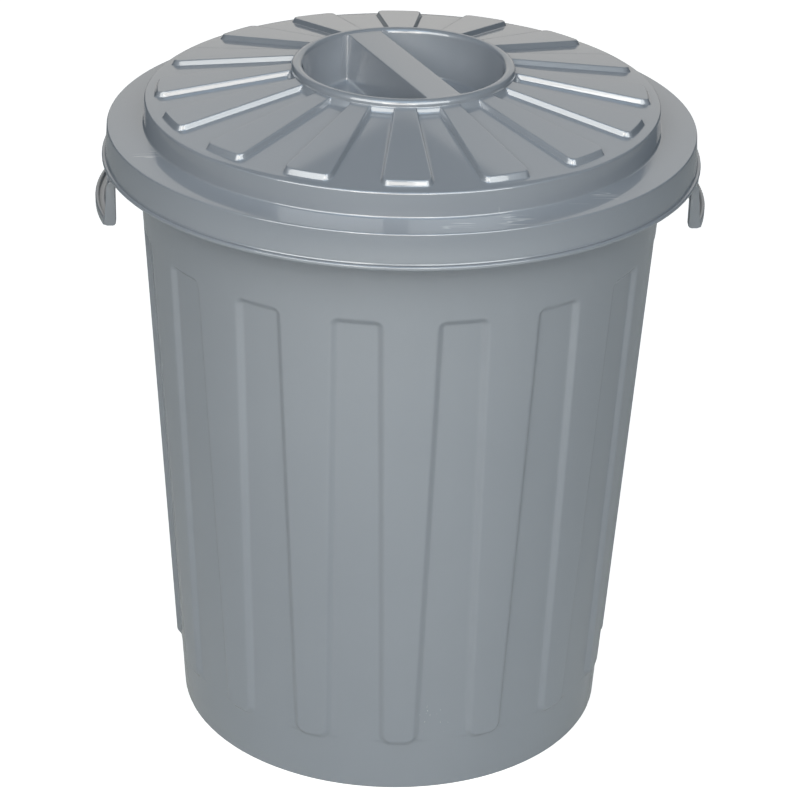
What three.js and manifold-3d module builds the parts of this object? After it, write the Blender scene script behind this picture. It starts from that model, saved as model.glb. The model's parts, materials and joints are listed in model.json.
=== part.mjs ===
// A round plastic bin with a lift-off lid and two swing handles.
// Millimetres, +Z up, origin on the floor under the middle of the bin, handles on the X axis.

import * as THREE from 'three';
import { mergeVertices } from 'three/addons/utils/BufferGeometryUtils.js';
import Module from 'manifold-3d';

const wasm = await Module();
wasm.setup();

// Bin body
const bodyHeight = 571.7;
const bodyBottomRadius = 202.2; // raised level of the wall, carried down to the floor
const bodyTopRadius = 234.8;
const bodyWall = 2.6;
const baseCorner = 2.5;
const footRingWidth = 24;
const footRecess = 8;
const footRecessSlope = 6;

// Flutes: raised fingers hang from the top band, pressed panels rise from the bottom band
const fingerCount = 16;
const fingerTopWidth = 46;
const fingerBottomWidth = 26.2;
const pressDepth = 4;
const pressSlope = 4.7;
const pressCorner = 7;
const topBandHeight = 88.7;
const bottomBandHeight = 49.6;

// Rolled rim of the body, hollow underneath, with a flat lip that the lid stands on
const rimWidth = 21.6;
const rimDraft = 2;
const rimDrop = 23.7; // from the top of the rim to the top of the lip
const lipWidth = 6.6;
const lipThickness = 3.2;
const lipRound = 1.2;

// Lid
const lidWall = 2.8;
const lidSideClearance = 0.8;
const lidSeatGap = 0.3;
const lidTopGap = 0.5;
const lidEdgeRound = 1.5;
const lidTurnDegrees = -1.4; // the lid is set down a little turned
const domeInset = 7.8; // from the body's top edge
const domeDraft = 0.8;
const domeRise = 22;
const coneRise = 20.9;

// Radial ribs of the lid
const ribCount = 16;
const ribWidthShare = 0.512; // of one rib pitch, before the inset of the sides
const ribSideInset = 1.25;
const ribHeight = 4.8;
const ribSideSlope = 1.8;
const ribEndSlope = 6.7;
const ribEndInset = 11; // from the edge of the dome
const ribHollowInset = 1.8;

// Sunk grip in the middle of the lid, with a round bead as its lip and a bar across it
const wellLipRadius = 98.5;
const wellDraft = 8.2;
const wellDepth = 42;
const wellCorner = 3.5;
const beadWidth = 10;
const beadRise = 0.6;
const barTopWidth = 31.5;
const barFootWidth = 41;
const barDrop = 1.5;
const barEndInset = 0.5;

// Swing handles, hinged under the rim's lip
const handleSpan = 135;
const handleDrop = 37; // from the hinge axis to the underside of the grip
const gripStandOut = 6.75; // past the rim's lip
const gripBend = 225; // radius of the grip's outer side, seen from above
const gripDepth = 11.5;
const gripHeight = 8.5;
const gripFloor = 5.2;
const gripLip = 3.2;
const gripBevel = 1;
const armThickness = 9;
const armInnerReach = 3.5; // from the hinge axis towards the bin
const armOuterReach = 7; // from the hinge axis away from the bin
const armCorner = 3;
const hingeInset = 4.44; // from the outside of the rim's lip to the far end of a hinge's bore
const hingeDrop = 8; // below the rim's lip
const pinRadius = 2.6;
const pinProud = 0.5;
const boreClearance = 0.35;
const lugThickness = 6;
const lugRadius = 4.9;
const lugSideGap = 0.4;
const lugLipInset = 0.3;

// Shared by the whole model
const fuse = 1; // how far joined shapes reach into each other
const cutOverrun = 5;
const columnsPerPitch = 6;
const cornerSteps = 3;
const beadSteps = 4;
const pinSteps = 20;
const arcSteps = 10;
const bevelSteps = 1;

const plasticColor = 0x8e9396;
const plasticRoughness = 0.42;
const plasticMetalness = 0;

// Places that follow from the sizes above
const panelTopHeight = bodyHeight - topBandHeight;
const ledgeHeight = bodyHeight - rimDrop;
const rimTopRadius = bodyTopRadius + rimWidth;
const rimFootRadius = rimTopRadius + rimDraft;
const lipRadius = rimFootRadius + lipWidth;
const lipFootHeight = ledgeHeight - lipThickness;

const flangeHeight = bodyHeight + lidTopGap + lidWall;
const skirtTopRadius = rimTopRadius + lidSideClearance + lidWall;
const skirtFootRadius = rimFootRadius + lidSideClearance + lidWall;
const skirtFootHeight = ledgeHeight + lidSeatGap;
const domeRadius = bodyTopRadius - domeInset;
const domeFootRadius = domeRadius + domeDraft;
const domeHeight = flangeHeight + domeRise;
const ribEndRadius = domeRadius - ribEndInset;
const wellRadius = wellLipRadius - beadWidth;
const wellFloorRadius = wellRadius - wellDraft;
const beadRadius = beadWidth / 2;
const beadMiddleRadius = wellLipRadius - beadRadius;
const beadMiddleHeight = domeHeight + coneRise + ribHeight + beadRise;
const lidTop = beadMiddleHeight + beadRadius;
const wellFloorHeight = lidTop - wellDepth;

const armInnerFace = handleSpan / 2 - armThickness;
const lugEnd = armInnerFace - lugSideGap;
const lugStart = lugEnd - lugThickness;
const hingeReach = Math.sqrt((lipRadius - hingeInset) ** 2 - lugEnd ** 2); // from the bin's axis
const hingeHeight = lipFootHeight - hingeDrop;
const handleFootHeight = hingeHeight - handleDrop;
const gripReach = lipRadius + gripStandOut; // of the middle of the grip, from the bin's axis

// A closed three.js geometry as a solid, with its shared corners merged and flat slivers left out
function solidOf(geometry) {
  const plain = geometry.clone();
  plain.deleteAttribute('normal');
  plain.deleteAttribute('uv');
  const merged = mergeVertices(plain);
  const index = merged.index.array;
  const triangles = [];
  for (let i = 0; i < index.length; i += 3) {
    const [a, b, c] = [index[i], index[i + 1], index[i + 2]];
    if (a !== b && b !== c && c !== a) triangles.push(a, b, c);
  }
  return new wasm.Manifold(new wasm.Mesh({
    numProp: 3,
    vertProperties: merged.attributes.position.array,
    triVerts: new Uint32Array(triangles),
  }));
}

function geometryOf(solid) {
  const mesh = solid.getMesh();
  const geometry = new THREE.BufferGeometry();
  geometry.setAttribute('position', new THREE.BufferAttribute(mesh.vertProperties, 3));
  geometry.setIndex(new THREE.BufferAttribute(mesh.triVerts, 1));
  geometry.computeVertexNormals();
  return geometry;
}

function meshOf(name, solid) {
  const material = new THREE.MeshStandardMaterial({
    color: plasticColor,
    roughness: plasticRoughness,
    metalness: plasticMetalness,
  });
  const mesh = new THREE.Mesh(geometryOf(solid), material);
  mesh.name = name;
  return mesh;
}

// Each pitch has six columns: raised middle, its edge, the sunk foot, sunk middle, foot and edge again
function columnAngle(column, count, edge, foot) {
  const pitch = (2 * Math.PI) / count;
  const offsets = [0, edge, foot, pitch / 2, pitch - foot, pitch - edge];
  return Math.floor(column / columnsPerPitch) * pitch + offsets[column % columnsPerPitch];
}

function evenAngle(column, count) {
  const step = (2 * Math.PI) / (count * columnsPerPitch);
  return columnAngle(column, count, step, 2 * step);
}

function isRaised(column) {
  const role = column % columnsPerPitch;
  return role === 0 || role === 1 || role === columnsPerPitch - 1;
}

// Turns an outline round the upright axis, and lets `place` say where each corner of each column goes
function turned(outline, count, place) {
  const columns = count * columnsPerPitch;
  const points = outline.map((corner) => new THREE.Vector2(corner.r, corner.z));
  const geometry = new THREE.LatheGeometry(points, columns);
  const position = geometry.attributes.position;
  for (let column = 0; column <= columns; column++) {
    outline.forEach((corner, row) => {
      const { r, z, angle } = place(corner, column % columns);
      position.setXYZ(column * outline.length + row, r * Math.cos(angle), r * Math.sin(angle), z);
    });
  }
  return solidOf(geometry);
}

function share(value, from, to) {
  return THREE.MathUtils.clamp((value - from) / (to - from), 0, 1);
}

// Corners along a round of the given radius, from one direction to another
function arcCorners(middleR, middleZ, radius, fromDegrees, toDegrees, steps) {
  const corners = [];
  for (let i = 0; i <= steps; i++) {
    const angle = THREE.MathUtils.degToRad(THREE.MathUtils.lerp(fromDegrees, toDegrees, i / steps));
    corners.push({ r: middleR + radius * Math.cos(angle), z: middleZ + radius * Math.sin(angle) });
  }
  return corners;
}

// Bin body

function wallRadius(z) {
  return THREE.MathUtils.lerp(bodyBottomRadius, bodyTopRadius, z / bodyHeight);
}

// How far a rounded corner draws an edge in, at `depth` into the corner
function cornerDraw(depth) {
  const inside = THREE.MathUtils.clamp(depth, 0, pressCorner);
  return pressCorner - Math.sqrt(pressCorner * pressCorner - inside * inside);
}

function fingerHalfWidth(z) {
  const along = share(z, bottomBandHeight, panelTopHeight);
  const half = THREE.MathUtils.lerp(fingerBottomWidth, fingerTopWidth, along) / 2;
  const atPanelTop = cornerDraw(z - (panelTopHeight - pressCorner));
  const atFingerFoot = cornerDraw(bottomBandHeight + pressCorner - z);
  return half + atPanelTop - atFingerFoot;
}

function placeOnBody(corner, column) {
  if (!corner.fluted) return { r: corner.r, z: corner.z, angle: evenAngle(column, fingerCount) };
  const fingerPress = 1 - share(corner.z, bottomBandHeight, bottomBandHeight + pressSlope);
  const panelPress = 1 - share(corner.z, panelTopHeight - pressSlope, panelTopHeight);
  const r = corner.r - pressDepth * (isRaised(column) ? fingerPress : panelPress);
  const edge = fingerHalfWidth(corner.z) / corner.r;
  return { r, z: corner.z, angle: columnAngle(column, fingerCount, edge, edge + pressSlope / corner.r) };
}

function flutedCorners(heights, inset) {
  return heights.map((z) => ({ r: wallRadius(z) - inset, z, fluted: true }));
}

function bodyOutline() {
  const baseRadius = wallRadius(0) - pressDepth;
  const footInnerRadius = baseRadius - baseCorner - footRingWidth;
  const fingerFoot = [0, pressSlope / 2, pressSlope, pressCorner].map((rise) => bottomBandHeight + rise);
  const panelTop = [pressCorner, pressSlope, pressSlope / 2, 0].map((fall) => panelTopHeight - fall);
  const middle = (bottomBandHeight + panelTopHeight) / 2;
  const hollowTop = bodyHeight - bodyWall;
  const innerFoot = footRecess + bodyWall;
  const innerBase = baseRadius - bodyWall;
  return [
    { r: 0, z: footRecess },
    { r: footInnerRadius - footRecessSlope, z: footRecess },
    { r: footInnerRadius, z: 0 },
    ...arcCorners(baseRadius - baseCorner, baseCorner, baseCorner, -90, 0, cornerSteps),
    ...flutedCorners([...fingerFoot, middle, ...panelTop], 0),
    { r: wallRadius(hollowTop), z: hollowTop },
    { r: rimTopRadius - bodyWall, z: hollowTop },
    { r: rimFootRadius - bodyWall, z: lipFootHeight },
    { r: lipRadius - lipRound, z: lipFootHeight },
    { r: lipRadius, z: lipFootHeight + lipRound },
    { r: lipRadius, z: ledgeHeight - lipRound },
    { r: lipRadius - lipRound, z: ledgeHeight },
    { r: rimFootRadius, z: ledgeHeight },
    { r: rimTopRadius, z: bodyHeight - lipRound },
    { r: rimTopRadius - lipRound, z: bodyHeight },
    { r: wallRadius(bodyHeight) - bodyWall, z: bodyHeight },
    ...flutedCorners([panelTop.at(-1), panelTop.at(1), fingerFoot.at(2), fingerFoot.at(0)], bodyWall),
    { r: innerBase, z: innerFoot + baseCorner },
    { r: innerBase - baseCorner, z: innerFoot },
    { r: 0, z: innerFoot },
  ];
}

// Extrudes a side view (X across, Y up) along the Y axis, from y = start towards larger y
function plateAlongY(shape, start, thickness) {
  const geometry = new THREE.ExtrudeGeometry(shape, {
    depth: thickness,
    bevelEnabled: false,
    curveSegments: arcSteps,
  });
  geometry.rotateX(Math.PI / 2);
  geometry.translate(0, start + thickness, 0);
  return solidOf(geometry);
}

function cylinderAlongY(radius, start, length) {
  const geometry = new THREE.CylinderGeometry(radius, radius, length, pinSteps);
  geometry.translate(hingeReach, start + length / 2, hingeHeight);
  return solidOf(geometry);
}

function mirroredY(solid, side) {
  return side > 0 ? solid : solid.mirror([0, 1, 0]);
}

// A cheek under the rim's lip that carries one pin of a handle
function hingeLug() {
  const shape = new THREE.Shape();
  const top = lipFootHeight + fuse;
  shape.absarc(hingeReach, hingeHeight, lugRadius, Math.PI, 2 * Math.PI, false);
  shape.lineTo(hingeReach + lugRadius, top);
  shape.lineTo(hingeReach - lugRadius, top);
  shape.closePath();
  const cheek = plateAlongY(shape, lugStart, lugThickness);
  const insideLip = solidOf(new THREE.CylinderGeometry(
    lipRadius - lugLipInset,
    lipRadius - lugLipInset,
    2 * bodyHeight,
    fingerCount * columnsPerPitch,
  ).rotateX(Math.PI / 2));
  return cheek.intersect(insideLip);
}

function binBody() {
  const lug = hingeLug();
  const boreRadius = pinRadius + boreClearance;
  const bore = cylinderAlongY(boreRadius, lugStart - cutOverrun, lugThickness + 2 * cutOverrun);
  let body = turned(bodyOutline(), fingerCount, placeOnBody);
  for (const turn of [0, 180]) {
    for (const side of [1, -1]) {
      body = body.add(mirroredY(lug, side).rotate([0, 0, turn]));
      body = body.subtract(mirroredY(bore, side).rotate([0, 0, turn]));
    }
  }
  return meshOf('bin_body', body);
}

// Lid

function coneHeight(r) {
  return domeHeight + coneRise * (1 - share(r, wellLipRadius, domeRadius));
}

function placeOnLid(corner, column) {
  if (!corner.ribbed) return { r: corner.r, z: corner.z, angle: evenAngle(column, ribCount) };
  const half = (ribWidthShare * Math.PI) / ribCount;
  const edge = half - (ribSideInset + corner.inset) / corner.r;
  const z = corner.z + (isRaised(column) ? corner.lift : 0);
  return { r: corner.r, z, angle: columnAngle(column, ribCount, edge, edge + ribSideSlope / corner.r) };
}

function ribbedCorner(r, thickness, lift, inset) {
  return { r, z: coneHeight(r) - thickness, ribbed: true, lift, inset };
}

function lidOutline() {
  const underDomeRadius = domeRadius - lidWall;
  return [
    { r: 0, z: wellFloorHeight },
    { r: wellFloorRadius - wellCorner, z: wellFloorHeight },
    { r: wellFloorRadius, z: wellFloorHeight + wellCorner },
    ...arcCorners(beadMiddleRadius, beadMiddleHeight, beadRadius, 180, 0, beadSteps),
    ribbedCorner(wellLipRadius, 0, ribHeight, 0),
    ribbedCorner(ribEndRadius - ribEndSlope, 0, ribHeight, 0),
    ribbedCorner(ribEndRadius, 0, 0, 0),
    { r: domeRadius - lidEdgeRound, z: domeHeight },
    { r: domeRadius, z: domeHeight - lidEdgeRound },
    { r: domeFootRadius, z: flangeHeight },
    { r: skirtTopRadius - lidEdgeRound, z: flangeHeight },
    { r: skirtTopRadius, z: flangeHeight - lidEdgeRound },
    { r: skirtFootRadius, z: skirtFootHeight },
    { r: skirtFootRadius - lidWall, z: skirtFootHeight },
    { r: skirtTopRadius - lidWall, z: flangeHeight - lidWall },
    { r: domeFootRadius - lidWall, z: flangeHeight - lidWall },
    { r: underDomeRadius, z: domeHeight - lidWall },
    ribbedCorner(ribEndRadius - lidWall, lidWall, 0, ribHollowInset),
    ribbedCorner(ribEndRadius - lidWall - ribEndSlope, lidWall, ribHeight, ribHollowInset),
    ribbedCorner(wellLipRadius - lidWall, lidWall, ribHeight, ribHollowInset),
    { r: wellLipRadius - lidWall, z: beadMiddleHeight },
    { r: wellRadius + lidWall, z: beadMiddleHeight },
    { r: wellFloorRadius + lidWall, z: wellFloorHeight },
    { r: wellFloorRadius, z: wellFloorHeight - lidWall },
    { r: 0, z: wellFloorHeight - lidWall },
  ];
}

// The space inside the well up to a height, drawn out or in by `grow`
function wellSpace(bottom, top, grow) {
  const spread = (z) => {
    const along = (z - wellFloorHeight) / (beadMiddleHeight - wellFloorHeight);
    return THREE.MathUtils.lerp(wellFloorRadius, wellRadius, along);
  };
  const outline = [
    { r: 0, z: bottom },
    { r: spread(bottom) + grow, z: bottom },
    { r: spread(top) + grow, z: top },
    { r: 0, z: top },
  ];
  return turned(outline, ribCount, placeOnLid);
}

// A bar across the well with leaning sides, along one pair of ribs
function barBlock(bottom, top, inset) {
  const lean = (barFootWidth - barTopWidth) / (lidTop - barDrop - wellFloorHeight);
  const halfAt = (z) => (barTopWidth + lean * (lidTop - barDrop - z)) / 2 - inset;
  const shape = new THREE.Shape();
  shape.moveTo(-halfAt(bottom), bottom);
  shape.lineTo(halfAt(bottom), bottom);
  shape.lineTo(halfAt(top), top);
  shape.lineTo(-halfAt(top), top);
  shape.closePath();
  return plateAlongY(shape, -wellLipRadius, 2 * wellLipRadius).rotate([0, 0, 360 / ribCount]);
}

function lid() {
  const barTop = lidTop - barDrop;
  const barFoot = wellFloorHeight - lidWall / 2;
  const bar = barBlock(barFoot, barTop, 0).intersect(wellSpace(barFoot, barTop, fuse));
  const hollowFoot = wellFloorHeight - lidWall - cutOverrun;
  const hollowTop = barTop - lidWall;
  const hollow = barBlock(hollowFoot, hollowTop, lidWall)
    .intersect(wellSpace(hollowFoot, hollowTop, -barEndInset));
  const shell = turned(lidOutline().reverse(), ribCount, placeOnLid); // an outline runs up its outside
  const mesh = meshOf('lid', shell.add(bar).subtract(hollow));
  mesh.rotation.z = THREE.MathUtils.degToRad(lidTurnDegrees);
  return mesh;
}

// Handles

// A curved block centred on the X axis, whose outer side bends round a line beside the bin's axis
function curvedBlock(innerRadius, outerRadius, span, bottom, height, bevel) {
  const inner = innerRadius + bevel;
  const outer = outerRadius - bevel;
  const half = Math.asin((span / 2 - bevel) / outerRadius);
  const shape = new THREE.Shape();
  shape.absarc(0, 0, outer, -half, half, false);
  shape.absarc(0, 0, inner, half, -half, true);
  shape.closePath();
  const geometry = new THREE.ExtrudeGeometry(shape, {
    depth: height - 2 * bevel,
    bevelEnabled: bevel > 0,
    bevelSize: bevel,
    bevelThickness: bevel,
    bevelSegments: bevelSteps,
    curveSegments: arcSteps,
  });
  geometry.translate(gripReach - gripBend, 0, bottom + bevel);
  return solidOf(geometry);
}

// The side view of an arm: round at the top about the hinge axis, with small corners at the foot
function armShape() {
  const inner = hingeReach - armInnerReach;
  const outer = hingeReach + armOuterReach;
  const cornerHeight = handleFootHeight + armCorner;
  const shape = new THREE.Shape();
  shape.absarc(hingeReach, hingeHeight, armInnerReach, 0, Math.PI, false);
  shape.lineTo(inner, cornerHeight);
  shape.absarc(inner + armCorner, cornerHeight, armCorner, Math.PI, 1.5 * Math.PI, false);
  shape.absarc(outer - armCorner, cornerHeight, armCorner, 1.5 * Math.PI, 2 * Math.PI, false);
  shape.closePath();
  return shape;
}

function handle(name) {
  const grip = curvedBlock(
    gripBend - gripDepth, gripBend, handleSpan, handleFootHeight, gripHeight, gripBevel,
  );
  const tray = curvedBlock(
    gripBend - gripDepth + gripLip, gripBend - gripLip, 2 * armInnerFace,
    handleFootHeight + gripFloor, gripHeight, 0,
  );
  const arm = plateAlongY(armShape(), armInnerFace, armThickness);
  const pinLength = lugSideGap + lugThickness + pinProud + fuse;
  const pin = cylinderAlongY(pinRadius, armInnerFace + fuse - pinLength, pinLength);
  let solid = grip.subtract(tray);
  for (const side of [1, -1]) {
    solid = solid.add(mirroredY(arm, side)).add(mirroredY(pin, side));
  }
  return meshOf(name, solid);
}

function bin() {
  const group = new THREE.Group();
  const right = handle('handle_right');
  const left = handle('handle_left');
  left.rotation.z = Math.PI;
  group.add(binBody(), lid(), left, right);
  return group;
}

export default bin();
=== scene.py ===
import json
import math

import bmesh
import bpy
from mathutils import Matrix, Vector


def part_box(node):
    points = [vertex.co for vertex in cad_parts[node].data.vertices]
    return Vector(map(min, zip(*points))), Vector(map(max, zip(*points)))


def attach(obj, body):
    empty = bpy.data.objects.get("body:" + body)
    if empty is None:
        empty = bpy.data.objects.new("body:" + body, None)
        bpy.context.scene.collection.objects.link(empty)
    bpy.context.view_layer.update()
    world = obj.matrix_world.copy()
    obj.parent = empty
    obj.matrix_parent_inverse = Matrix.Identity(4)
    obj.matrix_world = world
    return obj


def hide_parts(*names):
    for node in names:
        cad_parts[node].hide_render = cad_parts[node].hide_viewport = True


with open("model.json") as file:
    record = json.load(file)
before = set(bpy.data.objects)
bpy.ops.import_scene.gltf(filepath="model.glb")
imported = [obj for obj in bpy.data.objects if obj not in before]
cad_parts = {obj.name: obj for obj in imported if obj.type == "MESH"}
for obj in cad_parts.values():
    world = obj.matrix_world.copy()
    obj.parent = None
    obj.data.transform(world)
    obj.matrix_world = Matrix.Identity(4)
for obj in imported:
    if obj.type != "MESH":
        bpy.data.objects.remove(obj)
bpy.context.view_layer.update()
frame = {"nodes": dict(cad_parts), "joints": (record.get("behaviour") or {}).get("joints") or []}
scene = bpy.context.scene
print("frame loaded:", sorted(frame["nodes"]))

# every mesh is drawn in millimetres and scaled as it is finished
metresPerMillimetre = 0.001


def inMillimetres(corner):
    return [round(value / metresPerMillimetre, 2) for value in corner]


binHigh = inMillimetres(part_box("bin_body")[1])
lidLow, lidHigh = [inMillimetres(corner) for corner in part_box("lid")]
handleLow, handleHigh = [inMillimetres(corner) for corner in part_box("handle_right")]
hingePlace = [inMillimetres(joint["pos_m"]) for joint in frame["joints"]
              if joint["name"] == "handle_right_swing"][0]


# tools shared by the meshes

# distances within which points count as one, or as lying on a surface
snap = {
    "cut": 0.0001,
    "pick": 0.001,
    "join": 0.002,
    "merge": 0.003,
    "near": 0.01,
    "surface": 0.05,
}

# (roundings below this size, steps round the corner)
cornerSteps = ((1, 3), (3, 5), (math.inf, 8))
edgeSteps = 3
sharpAngle = math.radians(40)


def roundCorners(bm, verts, rounding):
    steps = next(steps for below, steps in cornerSteps if rounding < below)
    bmesh.ops.bevel(bm, geom=verts, offset=rounding, offset_type="OFFSET", affect="VERTICES",
                    segments=steps, profile=0.5, material=-1)


def roundEdges(bm, edges, rounding):
    bmesh.ops.bevel(bm, geom=edges, offset=rounding, affect="EDGES", segments=edgeSteps, profile=0.5,
                    material=-1)


def turnAround(bm, verts, angle):
    bmesh.ops.rotate(bm, verts=verts, cent=(0, 0, 0), matrix=Matrix.Rotation(angle, 3, "Z"))


def mirrorSide(bm):
    bmesh.ops.scale(bm, verts=bm.verts[:], vec=(1, -1, 1))
    bmesh.ops.reverse_faces(bm, faces=bm.faces[:])


def newVerts(made):
    return [part for part in made["geom"] if isinstance(part, bmesh.types.BMVert)]


def drawProfile(bm, corners):
    # a chain of (radius, height, rounding) corners, upright on the X axis
    verts = [bm.verts.new((radius, 0, height)) for radius, height, _ in corners]
    for start, end in zip(verts, verts[1:]):
        bm.edges.new((start, end))
    for vert, (_, _, rounding) in zip(verts, corners):
        if rounding:
            roundCorners(bm, [vert], rounding)


def cutRows(bm, places, direction):
    for place in places:
        bmesh.ops.bisect_plane(bm, geom=bm.verts[:] + bm.edges[:], dist=snap["cut"],
                               plane_co=Vector(direction) * place, plane_no=direction)


def spinArc(bm, steps, angle):
    # sweeps the profile round the axis, half the angle to each side of the X axis
    turnAround(bm, bm.verts[:], -angle / 2)
    bmesh.ops.spin(bm, geom=bm.verts[:] + bm.edges[:], cent=(0, 0, 0), axis=(0, 0, 1), dvec=(0, 0, 0),
                   angle=angle, steps=steps, use_merge=False, use_duplicate=False)


def repeatAround(bm, count):
    # doubles one pitch again and again until it goes all the way round; count is a power of two
    turn = math.tau / count
    while turn < math.tau:
        copied = bmesh.ops.duplicate(bm, geom=bm.verts[:] + bm.edges[:] + bm.faces[:])
        turnAround(bm, newVerts(copied), turn)
        turn *= 2
    bmesh.ops.remove_doubles(bm, verts=bm.verts[:], dist=snap["merge"])
    bmesh.ops.recalc_face_normals(bm, faces=bm.faces[:])


def rampArea(distance, width):
    inside = min(max(distance, 0), width)
    return inside * inside / (2 * width) + max(distance - width, 0)


def softRamp(distance, width, softness):
    # 0 before the edge and 1 past the width, with both ends of the slope rounded
    return (rampArea(distance + softness, width) - rampArea(distance - softness, width)) / (2 * softness)


def insideCorner(first, second, rounding):
    # depth inside two edges that meet in a rounded corner
    if first < rounding and second < rounding:
        return rounding - math.hypot(rounding - first, rounding - second)
    return min(first, second)


def cornerDraw(depth, rounding):
    # how far a rounded corner has drawn its edge in at this depth
    inside = min(max(depth, 0), rounding)
    return rounding - math.sqrt(rounding * rounding - inside * inside)


def columnPlaces(pitch, edge, radius, offsets):
    # angles of the columns in one pitch, which crowd round the edge of a rib or finger
    half = [(edge + offsets[0]) / 2 / radius] + [(edge + offset) / radius for offset in offsets]
    half += [(half[-1] + pitch / 2) / 2, pitch / 2]
    return [-angle for angle in reversed(half)] + [0] + half


def columnsPerPitch(offsets):
    return len(columnPlaces(1, 1, 1, offsets)) - 1


def pitchColumn(vert, pitch, columns):
    onAxis = math.hypot(vert.co.x, vert.co.y) <= snap["near"]
    angle = 0 if onAxis else math.atan2(vert.co.y, vert.co.x)
    return round((angle / pitch + 0.5) * columns)


def placePolar(vert, radius, angle, height):
    vert.co = (radius * math.cos(angle), radius * math.sin(angle), height)


def asObject(bm, name):
    mesh = bpy.data.meshes.new(name)
    bm.to_mesh(mesh)
    piece = bpy.data.objects.new(name, mesh)
    scene.collection.objects.link(piece)
    return piece


def combine(bm, tool, operation):
    # joins, or cuts, one closed mesh with another
    base, other = asObject(bm, "base"), asObject(tool, "tool")
    cut = base.modifiers.new("cut", "BOOLEAN")
    cut.object, cut.operation, cut.solver = other, operation, "EXACT"
    result = bpy.data.meshes.new_from_object(base.evaluated_get(bpy.context.evaluated_depsgraph_get()))
    bm.clear()
    bm.from_mesh(result)
    tool.free()
    for piece in (base, other):
        bpy.data.objects.remove(piece)
    bmesh.ops.remove_doubles(bm, verts=bm.verts[:], dist=snap["join"])
    bmesh.ops.dissolve_degenerate(bm, edges=bm.edges[:], dist=snap["join"])


def finishPiece(bm, name, bodyName, material, node):
    bmesh.ops.scale(bm, verts=bm.verts[:], vec=(metresPerMillimetre,) * 3)
    piece = asObject(bm, name)
    openEdges = sum(not edge.is_manifold for edge in bm.edges)
    print(f"{name}: {len(bm.faces)} faces, {openEdges} open edges")
    bm.free()
    mesh = piece.data
    mesh.materials.append(material)
    mesh.polygons.foreach_set("use_smooth", [True] * len(mesh.polygons))
    mesh.set_sharp_from_angle(angle=sharpAngle)
    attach(piece, bodyName)
    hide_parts(node)


# tools shared by the materials

def feed(tree, node, inputs):
    # each input takes a link from another node, or a plain value
    for name, value in inputs.items():
        if isinstance(value, bpy.types.NodeSocket):
            tree.links.new(value, node.inputs[name])
        else:
            node.inputs[name].default_value = value


def addNode(tree, kind, inputs, output):
    node = tree.nodes.new(kind)
    feed(tree, node, inputs)
    return node.outputs[output]


def addMath(tree, operation, *values, kind="ShaderNodeMath", output="Value"):
    node = tree.nodes.new(kind)
    node.operation = operation
    feed(tree, node, dict(enumerate(values)))
    return node.outputs[output]


def addMix(tree, factor, first, second):
    node = tree.nodes.new("ShaderNodeMix")
    node.data_type = "RGBA"
    feed(tree, node, {"Factor": factor, "A": first, "B": second})
    return node.outputs["Result"]


def addNoise(tree, place, scale, detail):
    return addNode(tree, "ShaderNodeTexNoise", {"Vector": place, "Scale": scale, "Detail": detail}, "Fac")


# moulded plastic, with its marks of wear

plasticLook = {
    "colour": (0.257, 0.286, 0.328, 1),
    "paleColour": (0.3, 0.33, 0.373, 1),
    "cloudScale": 5.0,
    "cloudDetail": 5,
    "roughness": 0.36,
    "roughnessSpread": 0.04,
    "metallic": 0.2,
    "coat": 1.0,
    "coatRoughness": 0.05,
    "coatIndex": 1.75,
    "grainScale": 900.0,
    "grainDetail": 2,
    "grainDepth": 0.00004,
    "waveScale": 9.0,
    "waveDetail": 1,
    "waveDepth": 0.0006,
}

# the same plastic darkened by about a fifth: painted shade on the handles
shadedHandleLook = {**plasticLook, "colour": (0.208, 0.232, 0.265, 1), "paleColour": (0.243, 0.267, 0.3, 1)}

# fine scuffs on the lid's flange; a patch is (centre, radius) in metres
scuffs = {
    "scales": (16, 120, 60),
    "middle": 0.5,
    "reach": 0.022,
    "strength": 0.55,
    "colour": (0.62, 0.64, 0.67, 1),
    "patches": [
        ((-0.222, -0.09, 0.575), 0.013),
        ((0.161, -0.179, 0.575), 0.013),
        ((0.138, -0.194, 0.575), 0.01),
        ((0.082, -0.227, 0.575), 0.018),
        ((0.035, -0.24, 0.575), 0.016),
    ],
}

# a few specks of dust low down on the front of the bin
specks = {
    "scales": (420, 420, 420),
    "middle": 0.8,
    "reach": 0.07,
    "strength": 0.8,
    "colour": (0.8, 0.8, 0.8, 1),
    "patches": [((0.03, -0.204, 0.074), 0.02)],
}

# a core is the share of a line's reach, or of a patch's radius, where a mark is at full strength
markShape = {"detail": 1, "lineCore": 0.4, "patchCore": 0.6}


def addMarks(tree, place, marks):
    # thin lines where a noise passes its middle value, inside a few round patches
    stretched = addMath(tree, "MULTIPLY", place, marks["scales"],
                        kind="ShaderNodeVectorMath", output="Vector")
    noise = addNoise(tree, stretched, 1, markShape["detail"])
    fromMiddle = addMath(tree, "ABSOLUTE", addMath(tree, "SUBTRACT", noise, marks["middle"]))
    lines = addNode(tree, "ShaderNodeMapRange", {
        "Value": fromMiddle,
        "From Min": marks["reach"],
        "From Max": marks["reach"] * markShape["lineCore"],
        "To Max": marks["strength"],
    }, "Result")
    inPatch = 0
    for centre, radius in marks["patches"]:
        distance = addMath(tree, "DISTANCE", place, centre, kind="ShaderNodeVectorMath")
        fade = addNode(tree, "ShaderNodeMapRange", {
            "Value": distance,
            "From Min": radius,
            "From Max": radius * markShape["patchCore"],
        }, "Result")
        inPatch = addMath(tree, "MAXIMUM", inPatch, fade)
    return addMath(tree, "MULTIPLY", lines, inPatch)


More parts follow.
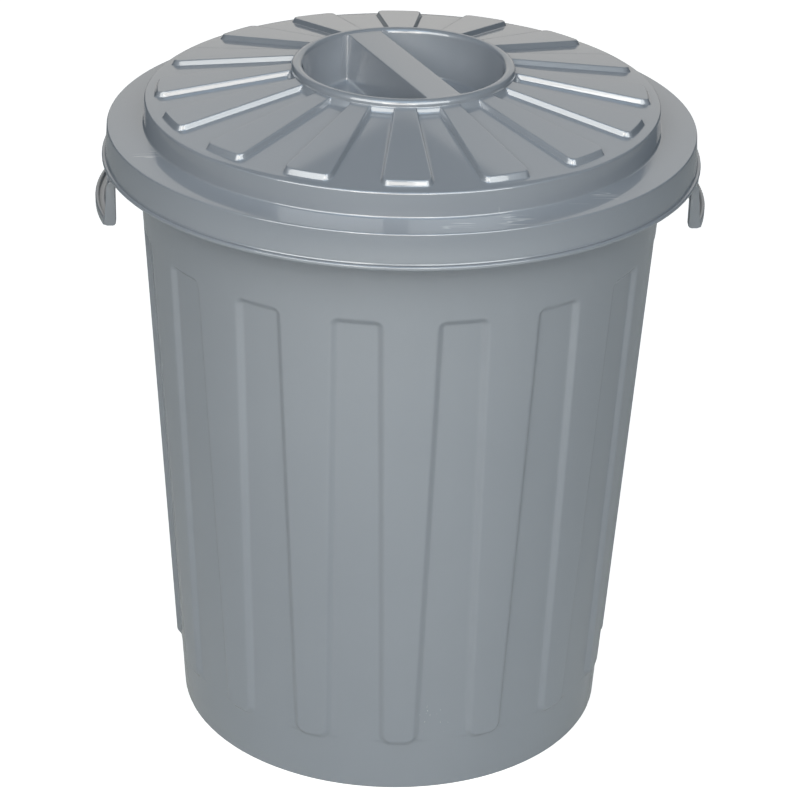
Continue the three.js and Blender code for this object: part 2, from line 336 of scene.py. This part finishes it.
def moulding(name, look, marks=None):
    # silver-pigmented plastic: faint clouds of pigment, satin grain and a slow waviness
    material = bpy.data.materials.new(name)
    material.use_nodes = True
    tree = material.node_tree
    place = tree.nodes.new("ShaderNodeTexCoord").outputs["Object"]
    clouds = addNoise(tree, place, look["cloudScale"], look["cloudDetail"])
    colour = addMix(tree, clouds, look["colour"], look["paleColour"])
    if marks:
        colour = addMix(tree, addMarks(tree, place, marks), colour, marks["colour"])
    satin = addNode(tree, "ShaderNodeMapRange", {
        "Value": clouds,
        "To Min": look["roughness"] - look["roughnessSpread"],
        "To Max": look["roughness"] + look["roughnessSpread"],
    }, "Result")
    waves = addNode(tree, "ShaderNodeBump", {
        "Height": addNoise(tree, place, look["waveScale"], look["waveDetail"]),
        "Distance": look["waveDepth"],
    }, "Normal")
    grain = addNode(tree, "ShaderNodeBump", {
        "Height": addNoise(tree, place, look["grainScale"], look["grainDetail"]),
        "Distance": look["grainDepth"],
        "Normal": waves,
    }, "Normal")
    feed(tree, tree.nodes["Principled BSDF"], {
        "Base Color": colour,
        "Roughness": satin,
        "Metallic": look["metallic"],
        "Coat Weight": look["coat"],
        "Coat Roughness": look["coatRoughness"],
        "Coat IOR": look["coatIndex"],
        "Normal": grain,
    })
    return material


bodyPlastic = moulding("body plastic", plasticLook, specks)
lidPlastic = moulding("lid plastic", plasticLook, scuffs)
shadedHandlePlastic = moulding("handle plastic with painted shade", shadedHandleLook)
print("materials made")


# bin body

body = {
    "height": binHigh[2],
    "bottomRadius": 202.2,
    "topRadius": 234.8,
    "wall": 2.6,
    "baseCorner": 2.5,
    "footInnerRadius": 175.7,
    "footCorner": 1,
    "footRecess": 8,
    "footSlope": 6,
    "recessCorner": 2,
    "rimRadius": 256.4,
    "rimFootRadius": 258.4,
    "rimCorner": 2.5,
    "rimInnerCorner": 2,
    "ledgeHeight": 548,
    "ledgeCorner": 0.8,
    "lipRadius": binHigh[0],
    "lipThickness": 3.2,
    "lipRound": 1.2,
    "lipInnerCorner": 0.6,
    "fingers": 16,
    "panelTop": 483,
    "fingerFoot": 54.3,
    "fingerTopWidth": 46,
    "fingerFootWidth": 26.2,
    "pressDepth": 4,
    "pressSlope": 4.7,
    "pressSoftness": 1.4,
    "pressCorner": 7,
    "pressedBelow": 500,
    "pressedOutside": 120,
    # where the rows and columns of the mesh lie, counted from the edges of fingers and panels
    "columnOffsets": [-3, -1.6, -0.7, 0.2, 1.2, 2.35, 3.5, 4.5, 5.4, 6.4, 8],
    "rowOffsets": [-3, -1.6, -0.7, 0.2, 1.2, 2.35, 3.5, 4.5, 5.4, 6.4, 8, 10, 13],
    "lowerRowOffsets": [3.5, 4.5, 5.4, 6.4, 8],
    "middleRows": [100, 140, 180, 220, 260, 300, 340, 380, 420, 455],
}


def wallRadius(height):
    return body["bottomRadius"] + (body["topRadius"] - body["bottomRadius"]) * height / body["height"]


def fingerHalfWidth(height):
    along = (height - body["fingerFoot"]) / (body["panelTop"] - body["fingerFoot"])
    along = min(max(along, 0), 1)
    return (body["fingerFootWidth"] + (body["fingerTopWidth"] - body["fingerFootWidth"]) * along) / 2


def pressedIn(angle, height):
    # how far a point lies inside the pressed part of the wall, which is what the raised fingers leave
    across = abs(angle) * wallRadius(height) - fingerHalfWidth(height)
    if height > (body["panelTop"] + body["fingerFoot"]) / 2:
        return insideCorner(across, body["panelTop"] - height, body["pressCorner"])
    return -insideCorner(-across, height - body["fingerFoot"], body["pressCorner"])


def makeBody():
    wall = body["wall"]
    lipFoot = body["ledgeHeight"] - body["lipThickness"]
    innerFloor = body["footRecess"] + wall
    underRim = body["height"] - wall
    bm = bmesh.new()
    drawProfile(bm, [
        (0, body["footRecess"], 0),
        (body["footInnerRadius"] - body["footSlope"], body["footRecess"], body["recessCorner"]),
        (body["footInnerRadius"], 0, body["footCorner"]),
        (body["bottomRadius"], 0, body["baseCorner"]),
        (wallRadius(underRim), underRim, body["rimInnerCorner"]),
        (body["rimRadius"] - wall, underRim, body["rimInnerCorner"]),
        (body["rimFootRadius"] - wall, lipFoot, body["lipInnerCorner"]),
        (body["lipRadius"], lipFoot, body["lipRound"]),
        (body["lipRadius"], body["ledgeHeight"], body["lipRound"]),
        (body["rimFootRadius"], body["ledgeHeight"], body["ledgeCorner"]),
        (body["rimRadius"], body["height"], body["rimCorner"]),
        (wallRadius(body["height"]) - wall, body["height"], body["rimCorner"]),
        (wallRadius(innerFloor) - wall, innerFloor, body["baseCorner"]),
        (0, innerFloor, 0),
    ])
    rows = [body["panelTop"] - offset for offset in body["rowOffsets"]] + body["middleRows"]
    rows += [body["fingerFoot"] + offset for offset in body["rowOffsets"]]
    rows += [body["fingerFoot"] - offset for offset in body["lowerRowOffsets"]]
    cutRows(bm, rows, (0, 0, 1))
    pitch = math.tau / body["fingers"]
    columns = columnsPerPitch(body["columnOffsets"])
    spinArc(bm, columns, pitch)
    innerShift = wall / 3  # keeps the slopes as thick as the wall
    for vert in bm.verts:
        radius, height = math.hypot(vert.co.x, vert.co.y), vert.co.z
        edge = fingerHalfWidth(height)
        edge += cornerDraw(height - (body["panelTop"] - body["pressCorner"]), body["pressCorner"])
        edge -= cornerDraw(body["fingerFoot"] + body["pressCorner"] - height, body["pressCorner"])
        places = columnPlaces(pitch, edge, wallRadius(height), body["columnOffsets"])
        angle = places[pitchColumn(vert, pitch, columns)]
        if body["pressedOutside"] < radius and height < body["pressedBelow"]:
            inner = height > innerFloor - snap["near"] and radius < wallRadius(height) - wall / 2
            depth = pressedIn(angle, height) + (innerShift if inner else 0)
            radius -= body["pressDepth"] * softRamp(depth, body["pressSlope"], body["pressSoftness"])
        placePolar(vert, radius, angle, height)
    repeatAround(bm, body["fingers"])
    return bm


bodyMesh = makeBody()
print("body wall spun and pressed")


# hinge cheeks under the rim, and the handles that hang in them

hinge = {
    "reach": hingePlace[0],
    "height": hingePlace[2],
    "cheekRadius": 4.9,
    "cheekOuter": 4,
    "cheekRoundShare": 0.99,
    "cheekThickness": 6,
    "cheekStart": 52.1,
    "cheekTop": 546.5,
    "cheekEdgeRound": 0.4,
    "boreRadius": 2.95,
    "boreSteps": 32,
    "boreOverrun": 2,
}

handle = {
    "footHeight": handleLow[2],
    "gripReach": handleHigh[0],
    "gripBend": 225,
    "gripDepth": 11.5,
    "gripHeight": 8.5,
    "gripFootRound": 1.4,
    "gripTopRound": 1.2,
    "trayFloor": 5.2,
    "trayLip": 3.2,
    "trayRound": 0.9,
    "span": 2 * handleHigh[1],
    "armThickness": 9,
    "armInner": 250.5,
    "armOuter": 261,
    "armTop": handleHigh[2],
    "armTopOuter": 257.5,
    "armCorner": 3,
    "armTopCorner": 3.4,
    "armOverlap": 2,
    "edgeRound": 0.7,
    "pinRadius": 2.6,
    "pinEnd": 51.6,
    "spinSteps": 48,
}


def plateAlongY(corners, start, thickness, edgeRound):
    # a side view of (x, z, rounding) corners, made into a plate that runs along Y
    bm = bmesh.new()
    verts = [bm.verts.new((x, start, z)) for x, z, _ in corners]
    bm.faces.new(verts)
    for vert, (_, _, rounding) in zip(verts, corners):
        if rounding:
            roundCorners(bm, [vert], rounding)
    moved = newVerts(bmesh.ops.extrude_face_region(bm, geom=bm.faces[:]))
    bmesh.ops.translate(bm, verts=moved, vec=(0, thickness, 0))
    bmesh.ops.recalc_face_normals(bm, faces=bm.faces[:])
    outline = [edge for edge in bm.edges
               if abs(edge.verts[0].co.y - edge.verts[1].co.y) < snap["pick"]]
    roundEdges(bm, outline, edgeRound)
    return bm


def rodAlongY(radius, start, end):
    # a rod on the hinge's axis
    bm = bmesh.new()
    place = Matrix.Translation((hinge["reach"], (start + end) / 2, hinge["height"]))
    bmesh.ops.create_cone(bm, cap_ends=True, segments=hinge["boreSteps"], radius1=radius, radius2=radius,
                          depth=end - start, matrix=place @ Matrix.Rotation(math.radians(90), 4, "X"))
    return bm


def makeCheek():
    inner, outer = hinge["reach"] - hinge["cheekRadius"], hinge["reach"] + hinge["cheekOuter"]
    foot = hinge["height"] - hinge["cheekRadius"]
    start, end = hinge["cheekStart"], hinge["cheekStart"] + hinge["cheekThickness"]
    cheek = plateAlongY([
        (inner, foot, hinge["cheekRadius"] * hinge["cheekRoundShare"]),
        (outer, foot, hinge["cheekOuter"] * hinge["cheekRoundShare"]),
        (outer, hinge["cheekTop"], 0),
        (inner, hinge["cheekTop"], 0),
    ], start, hinge["cheekThickness"], hinge["cheekEdgeRound"])
    bore = rodAlongY(hinge["boreRadius"], start - hinge["boreOverrun"], end + hinge["boreOverrun"])
    combine(cheek, bore, "DIFFERENCE")
    return cheek


def addCheeks(bm):
    for turn in (0, math.pi):
        for side in (1, -1):
            cheek = makeCheek()
            if side < 0:
                mirrorSide(cheek)
            turnAround(cheek, cheek.verts[:], turn)
            combine(bm, cheek, "UNION")


def makeArm():
    start = handle["span"] / 2 - handle["armThickness"]
    arm = plateAlongY([
        (handle["armInner"], handle["footHeight"], handle["armCorner"]),
        (handle["armOuter"], handle["footHeight"], handle["armCorner"]),
        (handle["armTopOuter"], handle["armTop"], handle["armTopCorner"]),
        (handle["armInner"], handle["armTop"], handle["armTopCorner"]),
    ], start, handle["armThickness"], handle["edgeRound"])
    pin = rodAlongY(handle["pinRadius"], handle["pinEnd"], start + handle["armOverlap"])
    combine(arm, pin, "UNION")
    return arm


def makeHandle():
    foot, top = handle["footHeight"], handle["footHeight"] + handle["gripHeight"]
    trayFloor = handle["footHeight"] + handle["trayFloor"]
    outer, inner = handle["gripBend"], handle["gripBend"] - handle["gripDepth"]
    outerLip, innerLip = outer - handle["trayLip"], inner + handle["trayLip"]
    bm = bmesh.new()
    drawProfile(bm, [
        (inner, foot, handle["edgeRound"]),
        (outer, foot, handle["gripFootRound"]),
        (outer, top, handle["gripTopRound"]),
        (outerLip, top, handle["gripTopRound"]),
        (outerLip, trayFloor, handle["trayRound"]),
        (innerLip, trayFloor, handle["trayRound"]),
        (innerLip, top, handle["gripTopRound"]),
        (inner, top, handle["gripTopRound"]),
    ])
    ends = [vert for vert in bm.verts if len(vert.link_edges) == 1]
    bmesh.ops.contextual_create(bm, geom=ends)
    halfLength = handle["span"] / 2 - handle["armOverlap"]
    spinArc(bm, handle["spinSteps"], 2 * math.asin(halfLength / outer))
    bmesh.ops.translate(bm, verts=bm.verts[:], vec=(handle["gripReach"] - outer, 0, 0))
    bmesh.ops.holes_fill(bm, edges=[edge for edge in bm.edges if edge.is_boundary], sides=0)
    bmesh.ops.recalc_face_normals(bm, faces=bm.faces[:])
    for side in (1, -1):
        arm = makeArm()
        if side < 0:
            mirrorSide(arm)
        combine(bm, arm, "UNION")
    return bm


addCheeks(bodyMesh)
finishPiece(bodyMesh, "binBody", "bin", bodyPlastic, "bin_body")

handlePieces = (("handleRight", "handle_right", 0), ("handleLeft", "handle_left", math.pi))
for pieceName, handleNode, turn in handlePieces:
    handleMesh = makeHandle()
    turnAround(handleMesh, handleMesh.verts[:], turn)
    finishPiece(handleMesh, pieceName, handleNode, shadedHandlePlastic, handleNode)


# lid, with the well and the grip bar

lid = {
    "wall": 2.8,
    "innerCorner": 1,
    "skirtFootHeight": lidLow[2],
    "skirtFootRadius": 262,
    "skirtTopRadius": 260,
    "skirtFootRound": 0.2,
    "skirtInnerRound": 0.6,
    "footBead": 0.4,
    "footBeadHeight": 1.2,
    "beadNeckInset": 0.2,
    "beadRunInset": 0.3,
    "beadRunHeight": 1.2,
    "flangeHeight": 575,
    "flangeRound": 1.4,
    "riserFootRadius": 227.8,
    "riserFillet": 2,
    "domeRadius": 227,
    "domeHeight": 597,
    "domeRound": 1.8,
    "coneRise": 20.9,
    "ribs": 16,
    "ribHalfAngle": 5.76,
    "ribSideInset": 1.25,
    "ribHeight": 4.5,
    "ribEnd": 217.8,
    "ribEndSlope": 2.6,
    "ribCorner": 4.8,
    "ribSlope": 1.8,
    "ribSoftness": 0.45,
    "ribHollowInset": 1.8,
    "ribClearOfRiser": 3,
    "recessCorner": 1.2,
    "recessEndSlope": 3.6,
    "collarGap": 0.2,
    "collarFootRound": 0.5,
    "wellLipRadius": 98.5,
    "wellRadius": 88.5,
    "wellFloorRadius": 80.3,
    "wellFloor": 586.3,
    "wellFillet": 3,
    "top": lidHigh[2],
    "beadRadius": 5,
    "turn": -1.4,
    # where the columns of the mesh lie, counted from a rib's edge, and its rings
    "columnOffsets": [-5, -3.9, -2.9, -2, -1.2, -0.5, 0.1, 0.7, 1.3, 1.9, 2.7, 4.2],
    "innerRings": [99.1, 99.7, 100.3, 100.9, 101.6, 102.6, 104.5, 108],
    "middleRings": [120, 140, 160, 180, 200],
    "outerRings": [207, 209, 210.3, 211.3, 212.2, 213, 213.7, 214.3, 214.8, 215.3, 215.9, 216.5, 217.1,
                   217.6, 218.1, 218.7, 219.5, 221],
}

bar = {
    "topHalfWidth": 15.75,
    "footHalfWidth": 20.5,
    "drop": 1.5,
    "direction": 22.5,
    "cornerFillet": 5,
    "floorFillet": 3.5,
    "edgeRound": 1.3,
    "endReach": 2.4,
    "endSqueeze": 0.5,
    "sideMargin": 1,
    "sink": 0.3,
    "circleSteps": 256,
    "wallSteps": 8,
    "filletSteps": 5,
    "hollowFlare": 0.6,
    "hollowOverrun": 3,
    "hollowRound": 1.5,
}


def coneHeight(radius):
    along = (radius - lid["wellLipRadius"]) / (lid["domeRadius"] - lid["wellLipRadius"])
    return lid["domeHeight"] + lid["coneRise"] * (1 - along)


def ribRise(radius, angle, hollow):
    # how far the ribs and the collar round the well lift the cone
    across = (abs(angle) - math.radians(lid["ribHalfAngle"])) * radius + lid["ribSideInset"]
    fromEnd = lid["ribEnd"] - lid["ribEndSlope"] - radius
    rib = insideCorner(-across, fromEnd * lid["ribSlope"] / lid["ribEndSlope"], lid["ribCorner"])
    recess = -rib
    if hollow:
        recess += lid["ribHollowInset"]
    else:
        fromCollar = (radius - lid["wellLipRadius"] - lid["collarGap"]) * lid["ribSlope"]
        recess = insideCorner(recess, fromCollar / lid["recessEndSlope"], lid["recessCorner"])
    return lid["ribHeight"] * (1 - softRamp(recess, lid["ribSlope"], lid["ribSoftness"]))


def lidProfile():
    wall, corner = lid["wall"], lid["innerCorner"]
    bead = lid["beadRadius"]
    beadHeight = lid["top"] - bead
    innerBead = lid["wellLipRadius"] - wall
    foot, footRadius = lid["skirtFootHeight"], lid["skirtFootRadius"]
    neck = foot + lid["footBeadHeight"]
    return [
        (0, lid["wellFloor"], 0),
        (lid["wellFloorRadius"], lid["wellFloor"], lid["wellFillet"]),
        (lid["wellRadius"], beadHeight, 0),
        (lid["wellRadius"], lid["top"], bead),
        (lid["wellLipRadius"], lid["top"], bead),
        (lid["wellLipRadius"], coneHeight(lid["wellLipRadius"]), lid["collarFootRound"]),
        (lid["domeRadius"], lid["domeHeight"], lid["domeRound"]),
        (lid["riserFootRadius"], lid["flangeHeight"], lid["riserFillet"]),
        (lid["skirtTopRadius"], lid["flangeHeight"], lid["flangeRound"]),
        (footRadius - lid["beadRunInset"], neck + lid["beadRunHeight"], 0),
        (footRadius - lid["beadNeckInset"], neck, lid["skirtFootRound"]),
        (footRadius + lid["footBead"], foot + lid["footBeadHeight"] / 2, lid["skirtFootRound"]),
        (footRadius + lid["footBead"], foot, lid["skirtFootRound"]),
        (footRadius - wall, foot, lid["skirtInnerRound"]),
        (lid["skirtTopRadius"] - wall, lid["flangeHeight"] - wall, corner),
        (lid["riserFootRadius"] - wall, lid["flangeHeight"] - wall, corner),
        (lid["domeRadius"] - wall, lid["domeHeight"] - wall, corner),
        (innerBead, coneHeight(innerBead) - wall, 0),
        (innerBead, beadHeight, corner),
        (lid["wellRadius"] + wall, beadHeight, corner),
        (lid["wellFloorRadius"] + wall, lid["wellFloor"] - wall, lid["wellFillet"] + wall),
        (0, lid["wellFloor"] - wall, 0),
    ]


def makeLid():
    innerBead = lid["wellLipRadius"] - lid["wall"]
    bm = bmesh.new()
    drawProfile(bm, lidProfile())
    cutRows(bm, lid["innerRings"] + lid["middleRings"] + lid["outerRings"], (1, 0, 0))
    pitch = math.tau / lid["ribs"]
    columns = columnsPerPitch(lid["columnOffsets"])
    spinArc(bm, columns, pitch)
    for vert in bm.verts:
        radius, height = math.hypot(vert.co.x, vert.co.y), vert.co.z
        reference = min(max(radius, innerBead), lid["ribEnd"])
        edge = math.radians(lid["ribHalfAngle"]) * reference - lid["ribSideInset"]
        places = columnPlaces(pitch, edge, reference, lid["columnOffsets"])
        angle = places[pitchColumn(vert, pitch, columns)]
        if innerBead - snap["surface"] < radius < lid["domeRadius"] - lid["ribClearOfRiser"]:
            above = height - coneHeight(radius)
            if -snap["surface"] < above < 2 * lid["collarFootRound"]:
                height += ribRise(radius, angle, False)
            elif abs(above + lid["wall"]) < snap["surface"]:
                height += ribRise(radius, angle, True)
        placePolar(vert, radius, angle, height)
    repeatAround(bm, lid["ribs"])
    return bm


def drawBarOutline(bm):
    # what two rounded halves of the well leave between them
    half = bar["topHalfWidth"]
    side = half + bar["cornerFillet"] + bar["sideMargin"]
    bmesh.ops.create_circle(bm, cap_ends=False, segments=bar["circleSteps"], radius=lid["wellRadius"])
    cutRows(bm, (half, -half), (1, 0, 0))
    between = [vert for vert in bm.verts if abs(vert.co.x) < half - snap["pick"]]
    bmesh.ops.delete(bm, geom=between, context="VERTS")
    for place in (half, -half):
        corners = [vert for vert in bm.verts if abs(vert.co.x - place) < snap["pick"]]
        bm.edges.new(corners)
        roundCorners(bm, corners, bar["cornerFillet"])
    bmesh.ops.create_circle(bm, cap_ends=False, segments=bar["circleSteps"],
                            radius=lid["wellRadius"] + bar["endReach"])
    cutRows(bm, (side, -side), (1, 0, 0))
    beyond = [vert for vert in bm.verts if abs(vert.co.x) > side + snap["pick"]]
    bmesh.ops.delete(bm, geom=beyond, context="VERTS")
    ends = [vert for vert in bm.verts if len(vert.link_edges) == 1]
    for near in ends:
        far = min((vert for vert in ends if vert is not near), key=lambda vert: (vert.co - near.co).length)
        if bm.edges.get((near, far)) is None:
            bm.edges.new((near, far))


def barLevels(top):
    # (height, widening) of each step: the rounded top edge, the drafted sides, the fillet at the floor
    fillet, edgeRound = bar["floorFillet"], bar["edgeRound"]
    below = lid["wellFloor"] + fillet
    turns = [math.pi / 2 * step / bar["filletSteps"] for step in range(bar["filletSteps"] + 1)]
    levels = [(top - edgeRound * (1 - math.cos(turn)), edgeRound * (math.sin(turn) - 1)) for turn in turns]
    levels += [(top + (below - top) * step / bar["wallSteps"], 0) for step in range(1, bar["wallSteps"] + 1)]
    levels += [(below - fillet * math.sin(turn), fillet * (1 - math.cos(turn))) for turn in turns[1:]]
    levels.append((lid["wellFloor"] - bar["sink"], fillet))
    return levels


def makeBar():
    # the outline is drawn down in steps and widened on the way, and its ends stay inside the well's wall
    top = lid["top"] - bar["drop"]
    bm = bmesh.new()
    drawBarOutline(bm)
    verts, loop = set(bm.verts), bm.edges[:]
    halfWidth, wellRadius, squeeze = bar["topHalfWidth"], lid["wellRadius"], 1
    for height, widening in barLevels(top):
        down = (top - height) / (top - lid["wellFloor"])
        nextHalf = bar["topHalfWidth"] + (bar["footHalfWidth"] - bar["topHalfWidth"]) * down + widening
        nextRadius = lid["wellRadius"] + (lid["wellFloorRadius"] - lid["wellRadius"]) * down
        nextSqueeze = 1 - down * bar["endSqueeze"]
        if height < top:
            verts = set(newVerts(bmesh.ops.extrude_edge_only(bm, edges=loop)))
            loop = [edge for edge in bm.edges if edge.verts[0] in verts and edge.verts[1] in verts]
        for vert in verts:
            past = (math.hypot(vert.co.x, vert.co.y) - wellRadius) * nextSqueeze / squeeze
            across = vert.co.x * nextHalf / halfWidth
            along = math.sqrt((nextRadius + past) ** 2 - across ** 2)
            vert.co = (across, math.copysign(along, vert.co.y), height)
        halfWidth, wellRadius, squeeze = nextHalf, nextRadius, nextSqueeze
    bmesh.ops.holes_fill(bm, edges=bm.edges[:], sides=0)
    bmesh.ops.recalc_face_normals(bm, faces=bm.faces[:])
    turnAround(bm, bm.verts[:], math.radians(bar["direction"]))
    return bm


def makeBarHollow():
    wall = lid["wall"]
    top = lid["top"] - bar["drop"] - wall
    foot = lid["wellFloor"] - wall - bar["hollowOverrun"]
    length = lid["wellFloorRadius"] - wall
    bm = bmesh.new()
    bmesh.ops.create_cube(bm, size=2)
    for vert in bm.verts:
        upper = vert.co.z > 0
        half = (bar["topHalfWidth"] if upper else bar["footHalfWidth"] + bar["hollowFlare"]) - wall
        vert.co = (vert.co.x * half, vert.co.y * length, top if upper else foot)
    roundEdges(bm, bm.edges[:], bar["hollowRound"])
    turnAround(bm, bm.verts[:], math.radians(bar["direction"]))
    return bm


lidMesh = makeLid()
print("lid spun and ribbed")
combine(lidMesh, makeBar(), "UNION")
combine(lidMesh, makeBarHollow(), "DIFFERENCE")
turnAround(lidMesh, lidMesh.verts[:], math.radians(lid["turn"]))
finishPiece(lidMesh, "lidMoulding", "lid", lidPlastic, "lid")


# floor, light and camera

studio = {
    "floorColour": (0.54, 0.57, 0.58, 1),
    "floorRoughness": 0.9,
    "floorSize": 14,
    "floorSeen": 0.85,  # added for the camera only, so that the floor reads as white paper
    "floorInGloss": 0.03,
    "backdropColour": (1, 1, 1, 1),
    "worldColour": (0.25, 0.6, 1, 1),
    "worldStrength": 0.035,
    "front": -92.85,  # bearing of the bin's front, in degrees
    "aim": (0, 0, 0.35),
    "wattsPerSquareMetre": 4,
    # name: (degrees round from the front, degrees up, distance, width, height, brightness, colour)
    "lamps": {
        "leftBox": (-34, 40, 3.0, 2.0, 1.9, 2.8, (1, 0.99, 0.94)),
        "rightBox": (29, 38, 3.0, 1.9, 1.8, 2.8, (0.98, 1, 0.97)),
        "frontBox": (-3, 27, 3.2, 1.8, 1.4, 3.1, (1, 0.91, 0.8)),
        "topStrip": (0, 70, 2.8, 1.8, 0.6, 1.8, (0.42, 0.7, 1)),
        "backWall": (178, 22, 3.6, 3.9, 2.8, 0.52, (1, 0.96, 0.9)),
    },
}

photoView = {
    "place": (-0.1136, -2.2814, 1.4360),
    "heading": -2.955,
    "tilt": 26.494,
    "roll": 1.421,
    "lens": 123.6,
    "sensor": 36,
}


def makeFloor():
    bm = bmesh.new()
    bmesh.ops.create_grid(bm, x_segments=1, y_segments=1, size=studio["floorSize"] / 2)
    floor = asObject(bm, "studioFloor")
    bm.free()
    material = bpy.data.materials.new("studio floor")
    material.use_nodes = True
    tree = material.node_tree
    rays = tree.nodes.new("ShaderNodeLightPath").outputs
    inGloss = addMath(tree, "MULTIPLY", rays["Is Glossy Ray"], studio["floorInGloss"])
    lift = addMath(tree, "MULTIPLY_ADD", rays["Is Camera Ray"], studio["floorSeen"], inGloss)
    glow = addNode(tree, "ShaderNodeEmission", {"Strength": lift}, "Emission")
    paint = tree.nodes["Principled BSDF"]
    feed(tree, paint, {"Base Color": studio["floorColour"], "Roughness": studio["floorRoughness"]})
    both = addNode(tree, "ShaderNodeAddShader", {0: paint.outputs["BSDF"], 1: glow}, "Shader")
    feed(tree, tree.nodes["Material Output"], {"Surface": both})
    floor.data.materials.append(material)


def makeLamp(name, around, up, distance, width, height, brightness, colour):
    lamp = bpy.data.lights.new(name, "AREA")
    lamp.shape = "RECTANGLE"
    lamp.size, lamp.size_y = width, height
    lamp.color = colour
    lamp.energy = studio["wattsPerSquareMetre"] * width * height * brightness
    holder = bpy.data.objects.new(name, lamp)
    bearing, rise = math.radians(studio["front"] + around), math.radians(up)
    way = Vector((math.cos(bearing) * math.cos(rise), math.sin(bearing) * math.cos(rise), math.sin(rise)))
    holder.location = Vector(studio["aim"]) + way * distance
    holder.rotation_euler = way.to_track_quat("Z", "Y").to_euler()
    scene.collection.objects.link(holder)


def makeWorld():
    world = bpy.data.worlds.new("studio")
    world.use_nodes = True
    scene.world = world
    tree = world.node_tree
    room = tree.nodes["Background"]
    feed(tree, room, {"Color": studio["worldColour"], "Strength": studio["worldStrength"]})
    white = addNode(tree, "ShaderNodeBackground", {"Color": studio["backdropColour"]}, "Background")
    seen = tree.nodes.new("ShaderNodeLightPath").outputs["Is Camera Ray"]
    sky = addNode(tree, "ShaderNodeMixShader", {0: seen, 1: room.outputs["Background"], 2: white}, "Shader")
    feed(tree, tree.nodes["World Output"], {"Surface": sky})


def makeCamera():
    optics = bpy.data.cameras.new("photoCamera")
    optics.lens, optics.sensor_width = photoView["lens"], photoView["sensor"]
    camera = bpy.data.objects.new("photoCamera", optics)
    pose = Matrix.Translation(photoView["place"])
    turns = ((photoView["heading"], "Z"), (90 - photoView["tilt"], "X"), (photoView["roll"], "Z"))
    for angle, axis in turns:
        pose = pose @ Matrix.Rotation(math.radians(angle), 4, axis)
    camera.matrix_world = pose
    scene.collection.objects.link(camera)
    scene.camera = camera


makeFloor()
for lampName, lampPlace in studio["lamps"].items():
    makeLamp(lampName, *lampPlace)
makeWorld()
makeCamera()
scene.view_settings.view_transform = "Standard"
print("studio set up")
